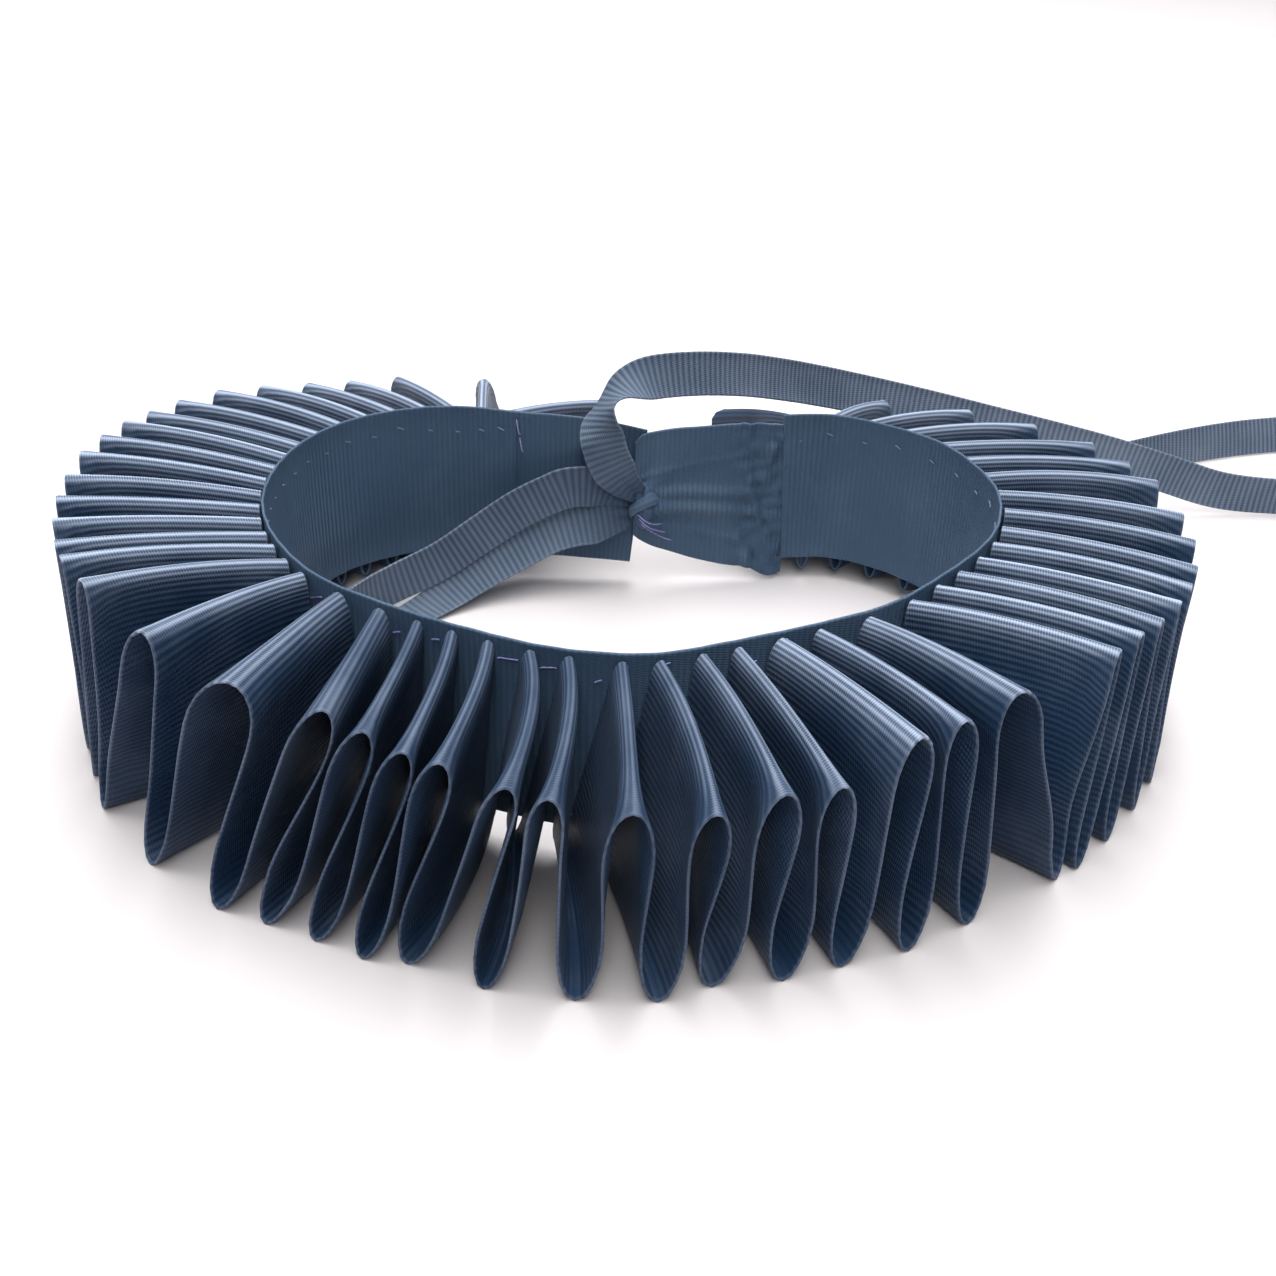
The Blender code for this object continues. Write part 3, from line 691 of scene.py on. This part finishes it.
def wave_lines(track):
    """Plan lines of the ridges and of the feet, and the room between ridges at the rim."""
    ridges = [fold_line(track, row[0], row[1], row[5]) for row in FOLDS]
    feet = []
    for row, following in zip(FOLDS, FOLDS[1:]):
        bow = (row[5] + following[5]) / 2
        place = (row[0] + following[0]) / 2
        feet.append(fold_line(track, place, row[2], bow, row[7], row[9]))
    rims = [on_fold(line, 1.0, 0.0) for line in ridges]
    spans = [(b - a).length for a, b in zip(rims, rims[1:])]
    return ridges, feet, spans


def make_ruffle(track, finish):
    """One ribbon in upright waves: tall round crests, S-shaped legs, round feet."""
    ridges, feet, spans = wave_lines(track)
    shares = columns_across(RUFFLE_WIDTH, 12)
    half = RIBBON_BODY / 2
    grid = []
    crest = []

    def crest_size(index, share):
        room = min(spans[max(index - 1, 0)], spans[min(index, len(spans) - 1)])
        wide = min(FOLDS[index][4], room - LEAST_ROOM)
        slim = min(FOLDS[index][8], wide)
        flare = FLARE if slim < BROAD_RIDGE else BROAD_FLARE
        width = slim + (wide - slim) * share**flare
        top = FOLD_TOP_AT_BAND + (FOLDS[index][3] - FOLD_TOP_AT_BAND) * share - half
        top += FOLDS[index][6] * 4 * share * (1 - share)
        return width, top, min(TALLEST_CREST, CREST_SHAPE * width)

    def foot_size(index, share):
        wide = min(WIDEST_FOOT, FOOT_ROOM * spans[index])
        width = FOOT_AT_BAND + (wide - FOOT_AT_BAND) * share**FOOT_FLARE
        return width, min(TALLEST_FOOT, FOOT_SHAPE * width)

    def crest_lean(index, share):
        """Plan shift of a loop per millimetre down, towards the feet on both sides."""
        before = on_fold(feet[max(index - 1, 0)], share, 0.0)
        after = on_fold(feet[min(index, len(feet) - 1)], share, 0.0)
        ridge = on_fold(ridges[index], share, 0.0)
        return ((before + after) / 2 - ridge) / FOLDS[index][3]

    def foot_lean(index, share):
        before = on_fold(ridges[index], share, 0.0)
        after = on_fold(ridges[index + 1], share, 0.0)
        foot = on_fold(feet[index], share, 0.0)
        return ((before + after) / 2 - foot) / FOLDS[index][3]

    def crest_point(index, share, turn):
        width, top, rise = crest_size(index, share)
        down = rise - rise * math.sin(turn)
        plan = on_fold(ridges[index], share, -math.cos(turn) * width / 2)
        plan = plan + crest_lean(index, share) * down
        return Vector((plan.x, plan.y, top - down))

    def foot_point(index, share, turn):
        width, drop = foot_size(index, share)
        up = drop - drop * math.sin(turn)
        plan = on_fold(feet[index], share, -math.cos(turn) * width / 2)
        plan = plan + foot_lean(index, share) * up
        lift = RIBBON_SELVEDGE / 2 + FOOT_LIFT * (1 - share) ** 2
        return Vector((plan.x, plan.y, lift + up))

    def crest_highlight(index):
        """Painted highlight on a crest: full at the sides, least at the throat, and none on the last
        fold.
        """
        if index == len(FOLDS) - 1:
            return 0.0
        near = math.exp(-(((FOLDS[index][1] - THROAT_BEARING) / THROAT_SPREAD) ** 2))
        return 1.0 - (1.0 - THROAT_HIGHLIGHT) * near

    def crest_row(index, turn):
        grid.append([crest_point(index, share, turn) for share in shares])
        # The crest's painted highlight: a pale stripe along the top of the loop
        marks = []
        for share in shares:
            off = math.cos(turn) * crest_size(index, share)[0] / 2
            highlight_reach = CREST_REACH * FOLDS[index][8]
            marks.append(crest_highlight(index) * math.exp(-((off / highlight_reach) ** 4)))
        crest.append(marks)

    def foot_row(index, turn):
        grid.append([foot_point(index, share, turn) for share in shares])
        crest.append([0.0] * len(shares))

    def leg_row(index, loop, side, t):
        """A row of the leg between a crest and a foot, t of the way down."""
        line = []
        for share in shares:
            start = crest_point(loop, share, math.pi if side > 0 else 0.0)
            stop = foot_point(index, share, 0.0 if side > 0 else math.pi)
            pull = LEG_STIFFNESS * (start.z - stop.z)
            leave, arrive = crest_lean(loop, share), -foot_lean(index, share)
            leave = Vector((leave.x, leave.y, -1.0)) * pull
            arrive = Vector((arrive.x, arrive.y, -1.0)) * pull
            ease = t * t * (3 - 2 * t)
            point = start.lerp(stop, ease)
            point += leave * (t**3 - 2 * t * t + t) + arrive * (t**3 - t * t)
            line.append(point)
        grid.append(line)
        crest.append([0.0] * len(shares))

    crest_turns = [math.pi * k / CREST_STEPS for k in range(CREST_STEPS + 1)]
    foot_turns = [math.pi * k / FOOT_STEPS for k in range(FOOT_STEPS + 1)]
    leg_steps = [k / LEG_STEPS for k in range(1, LEG_STEPS)]
    for index in range(len(FOLDS)):
        for turn in crest_turns:
            crest_row(index, turn)
        if index == len(FOLDS) - 1:
            break
        for t in leg_steps:
            leg_row(index, index, 1, t)
        for turn in foot_turns:
            foot_row(index, turn)
        for t in reversed(leg_steps):
            leg_row(index, index + 1, -1, t)
    # the two cut ends hang as half legs
    for index, side in ((0, -1), (len(FOLDS) - 1, 1)):
        tail = []
        for k in range(1, END_STEPS + 1):
            line = []
            for share in shares:
                width, top, rise = crest_size(index, share)
                high = top - rise
                plan = on_fold(ridges[index], share, side * width / 2)
                line.append(Vector((plan.x, plan.y, high + (BAND_FOOT - high) * k / END_STEPS)))
            tail.append(line)
        marks = [[0.0] * len(shares) for _ in tail]
        if index == 0:
            grid = list(reversed(tail)) + grid
            crest = marks + crest
        else:
            grid = grid + tail
            crest = crest + marks
    for line in grid:
        for share, point in zip(shares, line):
            sway = noise.noise(point * SWAY_CLOSENESS) * SWAY * share
            if point.z > SWAY_FROM:
                point.x += sway
                point.y -= sway
    ruffle, length = weave_ribbon("ruffle_ribbon", grid, finish, crest)
    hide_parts("ruffle")
    return ruffle


def make_neckband(track, finish):
    """The band on edge, nipped in a little at each place where a fold is sewn."""
    shares = columns_across(BAND_TOP - BAND_FOOT, 8)
    places = [row[0] for row in FOLDS]
    grid = []
    steps = int(track.length / BAND_STEP)
    for step in range(steps + 1):
        along = track.length * step / steps
        near_end = max(0.0, 1.0 - (track.length - along) / BAND_END_REACH) ** 2
        line = []
        for share in shares:
            place = along - near_end * BAND_END_SLANT * (1 - share)
            base = track.point(min(max(place, 0.01), track.length - 0.01))
            facing = track.outward(min(max(place, 1.01), track.length - 1.01))
            nearest = min(abs(place - p) for p in places)
            nip = NIP_DEPTH * math.exp(-((nearest / NIP_REACH) ** 2))
            z = BAND_FOOT + (BAND_TOP - BAND_FOOT) * share
            wander = noise.noise(Vector((place * 0.06, z * 0.03, 2.0)))
            plan = base + facing * (nip - BAND_WANDER * wander)
            lift = BAND_LIFT * noise.noise(Vector((place * 0.05, 5.0, 0.0))) * share
            line.append(Vector((plan.x, plan.y, z + lift)))
        grid.append(line)
    band, length = weave_ribbon("neckband_ribbon", grid, finish)
    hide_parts("neckband")
    return band


def make_tab_left(finish):
    """Flat tab, its cut end square, with a slight belly."""
    shares = columns_across(TAB_WIDTH, 10)
    grid = []
    for low_x, high_x, y, low, high in spline(TAB_LEFT, 8):
        line = []
        for share in shares:
            x = low_x + (high_x - low_x) * share
            wander = noise.noise(Vector((x * 0.08, share * 2.0, 7.0)))
            z = low + (high - low) * share
            line.append(Vector((x, y + TAB_BELLY * wander, z)))
        grid.append(line)
    tab, length = weave_ribbon("tab_left_ribbon", grid, finish)
    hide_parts("tab_left")
    return tab


def make_tab_right(finish):
    """Tab ruched into the band at one end and drawn into the knot at the other."""
    shares = columns_across(TAB_WIDTH, 56)
    knot_x, knot_z = KNOT_MIDDLE.x, PINCH_HEIGHT
    grid = []
    crest = []
    for x, y, low, high in spline(TAB_RIGHT, 9):
        line = []
        marks = []
        seam = math.exp(-(((x - RUCHE_MIDDLE) / RUCHE_REACH) ** 4))
        for share in shares:
            z = low + (high - low) * share
            away = math.hypot(x - knot_x, (z - knot_z) * 0.8)
            turn = math.atan2(z - knot_z, max(0.5, x - knot_x + 3.0))
            rays = RAY_DEPTH * math.exp(-away / RAY_REACH) * math.cos(turn * RAYS + 0.6)
            folds = 0.0
            for height, slope, size in TAB_FOLDS:
                off = (z - height - slope * (x - knot_x)) / size
                fade = math.exp(-((x / TAB_FOLD_END) ** 6))
                folds += TAB_FOLD_DEPTH * size * math.exp(-off * off) * fade
            pull = PINCH_DEPTH * math.exp(-((away / PINCH_REACH) ** 2))
            drift = noise.noise(Vector((x * 0.22, z * 0.16, 3.0)))
            ruche = RUCHE_DEPTH * seam * noise.noise(Vector((x * 0.3 + drift, z * 0.38, 9.0)))
            ruche += RUCHE_RIPPLE * seam * math.cos(x * 0.95 + z * 0.3 + 4.0 * drift)
            line.append(Vector((x, y - rays - folds - pull + ruche, z)))
            # Painted highlight on the long folds, painted shade in the ruching
            painted_light = TAB_FOLD_HIGHLIGHT * folds - RUCHE_SHADE * seam * (0.6 + 1.4 * drift)
            marks.append(max(-0.25, min(1.0, painted_light)))
        grid.append(line)
        crest.append(marks)
    tab, length = weave_ribbon("tab_right_ribbon", grid, finish, crest)
    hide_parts("tab_right")
    return tab


def make_tail(name, route, node, finish, gathered=True):
    """Narrow ribbon along its route, gathered into creases where it meets the knot."""
    rows = spline(route, 7)
    points = [Vector(row[:3]) for row in rows]
    shares = columns_across(TIE_WIDTH, 5)
    grid = []
    crest = []
    travelled = 0.0
    for index, row in enumerate(rows):
        if index:
            travelled += (points[index] - points[index - 1]).length
        onward = points[min(index + 1, len(rows) - 1)] - points[max(index - 1, 0)]
        onward.normalize()
        across = Vector(row[3:])
        across = (across - onward * across.dot(onward)).normalized()
        lift = onward.cross(across)
        full = 1.0
        if gathered:
            full = min(1.0, TIE_GATHER + (1.0 - TIE_GATHER) * travelled / TIE_GATHER_LENGTH)
        line = []
        for share in shares:
            side = (share - 0.5) * TIE_WIDTH * full
            crease = (1.0 - full) * TIE_CREASE * math.cos(share * 4 * math.pi)
            cup = TIE_CUP * (1.0 - (2 * share - 1) ** 2)
            line.append(points[index] + across * side + lift * (crease + cup))
        grid.append(line)
        # Painted shade darkens the gathered tail near the knot
        shaded = KNOT_SHADE * math.exp(-travelled / KNOT_SHADE_REACH) if gathered else 0.0
        crest.append([TIE_WEAR - shaded] * len(shares))
    tail, _ = weave_ribbon(name, grid, finish, crest, TIE_BODY, TIE_SELVEDGE)
    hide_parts(node)
    return tail


def make_knot(finish):
    """A tight barrel of creased ribbon with one turn crossing over it."""
    shell = bmesh.new()
    cloth = shell.loops.layers.uv.new("cloth")
    shell.verts.layers.float.new("selvedge")
    crest_layer = shell.verts.layers.float.new("crest")

    def barrel(angle, height):
        """Point on the barrel, from the knot's middle."""
        taper = abs(height / KNOT_CLOSES)
        tilt = 0.5 * math.cos(angle - 0.5)
        crease = KNOT_CREASE * math.cos((height + tilt) * KNOT_CREASES) * (1 - taper)
        radius = 1.0 - taper**3 + crease / 3.0
        wide, deep = KNOT_RADII
        return Vector((wide * radius * math.cos(angle), deep * radius * math.sin(angle), height))

    def skin(rings, closed):
        """Faces between rings, closed into a hoop or capped at both ends."""
        count = len(rings[0])
        for i in range(len(rings) - (0 if closed else 1)):
            a, b = rings[i], rings[(i + 1) % len(rings)]
            for k in range(count):
                m = (k + 1) % count
                face = shell.faces.new((a[k], b[k], b[m], a[m]))
                face.smooth = True
                corners = ((i, k), (i + 1, k), (i + 1, k + 1), (i, k + 1))
                for loop, (along, over) in zip(face.loops, corners):
                    loop[cloth].uv = (over * KNOT_WEAVE[0] * MM, along * KNOT_WEAVE[1] * MM)
        if not closed:
            shell.faces.new(rings[0])
            shell.faces.new(list(reversed(rings[-1])))

    rings = []
    for i in range(KNOT_RINGS + 1):
        height = -KNOT_HALF_HEIGHT + 2 * KNOT_HALF_HEIGHT * i / KNOT_RINGS
        ring = []
        for k in range(KNOT_SIDES):
            point = KNOT_MIDDLE + barrel(2 * math.pi * k / KNOT_SIDES, height)
            vertex = shell.verts.new((point - CENTRE) * MM)
            vertex[crest_layer] = 0.0
            ring.append(vertex)
        rings.append(ring)
    skin(rings, False)
    rings = []
    for i in range(TURN_RINGS):
        angle = 2 * math.pi * i / TURN_RINGS
        out = Vector((math.cos(angle), math.sin(angle), 0.0))
        rise = TURN_SLOPE * math.sin(angle + 2.4)
        ring = []
        for k in range(TURN_SIDES):
            turn = 2 * math.pi * k / TURN_SIDES
            height = rise + TURN_HALF_WIDTH * math.sin(turn)
            thick = TURN_THICKNESS * math.cos(turn) * (1 + 0.25 * math.cos(3 * turn))
            point = KNOT_MIDDLE + barrel(angle, height) + out * (TURN_STAND + thick)
            vertex = shell.verts.new((point - CENTRE) * MM)
            # The turn's outer face is mixed paler
            vertex[crest_layer] = TURN_OUTER_PALE * max(0.0, math.cos(turn))
            ring.append(vertex)
        rings.append(ring)
    skin(rings, True)
    bmesh.ops.recalc_face_normals(shell, faces=shell.faces)
    knot = set_down("knot_turns", shell, finish)
    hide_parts("knot")
    return knot


def sew(name, runs, finish):
    """Hand stitches: each run of thread is a fine round cord that dips at both ends."""
    shell = bmesh.new()
    for run in runs:
        points = [Vector(row) for row in spline(run, 4)]
        rings = []
        for index, point in enumerate(points):
            onward = points[min(index + 1, len(points) - 1)] - points[max(index - 1, 0)]
            side = onward.orthogonal().normalized()
            lift = onward.cross(side).normalized()
            ring = []
            for k in range(THREAD_SIDES):
                turn = 2 * math.pi * k / THREAD_SIDES
                out = side * math.cos(turn) + lift * math.sin(turn)
                ring.append(shell.verts.new((point + out * THREAD_RADIUS - CENTRE) * MM))
            rings.append(ring)
        for a, b in zip(rings, rings[1:]):
            for k in range(THREAD_SIDES):
                m = (k + 1) % THREAD_SIDES
                shell.faces.new((a[k], b[k], b[m], a[m])).smooth = True
        shell.faces.new(rings[0])
        shell.faces.new(list(reversed(rings[-1])))
    bmesh.ops.recalc_face_normals(shell, faces=shell.faces)
    return set_down(name, shell, finish)


def band_run(track, first, last, off):
    """One stitch on the band between two (place, height) points, on one face of it."""
    run = []
    for share, lift in STITCH_ARC:
        place = first[0] + (last[0] - first[0]) * share
        height = first[1] + (last[1] - first[1]) * share
        facing = track.outward(place)
        plan = track.point(place) + facing * (off + math.copysign(lift, off))
        run.append((plan.x, plan.y, height))
    return run


def sew_ruffle_to_band(track, outer_thread, inner_thread):
    """A tack inside the band for each fold, and the long stitches seen between folds."""
    runs = [band_run(track, first, last, OUTER_STITCH_FACE) for first, last in BAND_STITCHES]
    sew("band_stitches", runs, outer_thread)
    tacks = []
    for row in FOLDS:
        uneven = noise.noise(Vector((row[0] * 0.37, 4.0, 1.0)))
        place = min(max(row[0] - 0.7, 2.0), track.length - 3.5)
        start = (place, TACK_HEIGHT + 1.6 * uneven)
        stop = (place + 1.1 + uneven, TACK_HEIGHT + 2.4 * uneven + 0.3)
        tacks.append(band_run(track, start, stop, INNER_STITCH_FACE))
    sew("ruffle_tacks", tacks, inner_thread)


# Table, light and view


def set_table():
    """A wide plain table top, out of the part."""
    bpy.ops.object.select_all(action="DESELECT")
    bpy.ops.mesh.primitive_plane_add(size=TABLE_SIDE, location=(0.0, TABLE_BACK, 0.0))
    table = bpy.context.object
    table.name = "table_top"
    bpy.ops.object.transform_apply(location=True, rotation=False, scale=False)
    table.data.materials.append(table_paint())


def set_lights():
    """Soft studio light: long lamps ahead and overhead, weak soft boxes, a faint room."""
    world = bpy.data.worlds.new("soft_room") if not bpy.data.worlds else bpy.data.worlds[0]
    bpy.context.scene.world = world
    world.use_nodes = True
    background = world.node_tree.nodes["Background"]
    background.inputs["Color"].default_value = shade("#f2f4ff")
    background.inputs["Strength"].default_value = ROOM_STRENGTH
    for name, place, target, size, power in LAMPS:
        light = bpy.data.lights.new(name, "AREA")
        light.shape = "RECTANGLE"
        light.size, light.size_y = size
        light.energy = power
        lamp = bpy.data.objects.new(name, light)
        bpy.context.scene.collection.objects.link(lamp)
        lamp.location = place
        aim = Vector(target) - Vector(place)
        lamp.rotation_euler = aim.to_track_quat("-Z", "Y").to_euler()


def set_camera():
    """The photograph's own view, from the fitted place and angles."""
    yaw, pitch, roll = (math.radians(v) for v in (CAMERA_YAW, CAMERA_PITCH, CAMERA_ROLL))
    forward = Vector(
        (math.sin(yaw) * math.cos(pitch), math.cos(yaw) * math.cos(pitch), -math.sin(pitch))
    )
    level = Vector((math.cos(yaw), -math.sin(yaw), 0.0))
    upright = level.cross(forward)
    right = level * math.cos(roll) + upright * math.sin(roll)
    up = upright * math.cos(roll) - level * math.sin(roll)
    lens = bpy.data.cameras.new("photo_view")
    lens.sensor_fit = "HORIZONTAL"
    lens.sensor_width = FILM_WIDTH
    lens.lens = FOCUS_PIXELS / PICTURE_PIXELS * FILM_WIDTH
    lens.clip_start = NEAR_END
    lens.clip_end = FAR_END
    camera = bpy.data.objects.new("photo_view", lens)
    bpy.context.scene.collection.objects.link(camera)
    turn = Matrix((right, up, -forward)).transposed().to_4x4()
    camera.matrix_world = Matrix.Translation((CAMERA_PLACE - CENTRE) * MM) @ turn
    bpy.context.scene.camera = camera


bpy.context.scene.view_settings.view_transform = "Standard"
set_camera()
# Each ribbon's deep dye, the paler tone used for painted highlights, and its ribs. The
# ruffle is a dark matt blue with painted highlights on its crests, the band (also the
# tabs and knot) the same ribbon painted evenly paler as painted light, and the ties a
# greyer blue, mixed evenly with their paler tone, whose coarser ribs show as stripes
navy = grosgrain("navy_grosgrain", "#1b3049", "#a4b2c8", RIB_PITCH, 0.055)
band_navy = grosgrain("neckband_grosgrain", "#3b5067", "#8b9dae", RIB_PITCH, 0.05)
slate = grosgrain("slate_grosgrain", "#36475c", "#9fabba", TIE_RIB_PITCH, 0.075)
neck_track = Track(BAND_PLAN)
make_tail("tie_over_back", TIE_ARCH, "tie_arch", slate)
make_tail("tie_far_right", TIE_BACK, "tie_back", slate, gathered=False)
make_tail("tie_in_neck_upper", TIE_INNER_UPPER, "tie_inner_upper", slate)
make_tail("tie_in_neck_lower", TIE_INNER_LOWER, "tie_inner_lower", slate)
make_neckband(neck_track, band_navy)
make_ruffle(neck_track, navy)
make_tab_left(band_navy)
make_tab_right(band_navy)
make_knot(band_navy)
violet_thread = sewing_thread("violet_sewing_thread", "#8482b8")
grey_thread = sewing_thread("grey_blue_sewing_thread", "#66748c")
sew_ruffle_to_band(neck_track, violet_thread, grey_thread)
sew("left_tab_stitches", TAB_STITCHES, violet_thread)
sew("knot_thread", KNOT_STITCHES, violet_thread)
set_table()
set_lights()
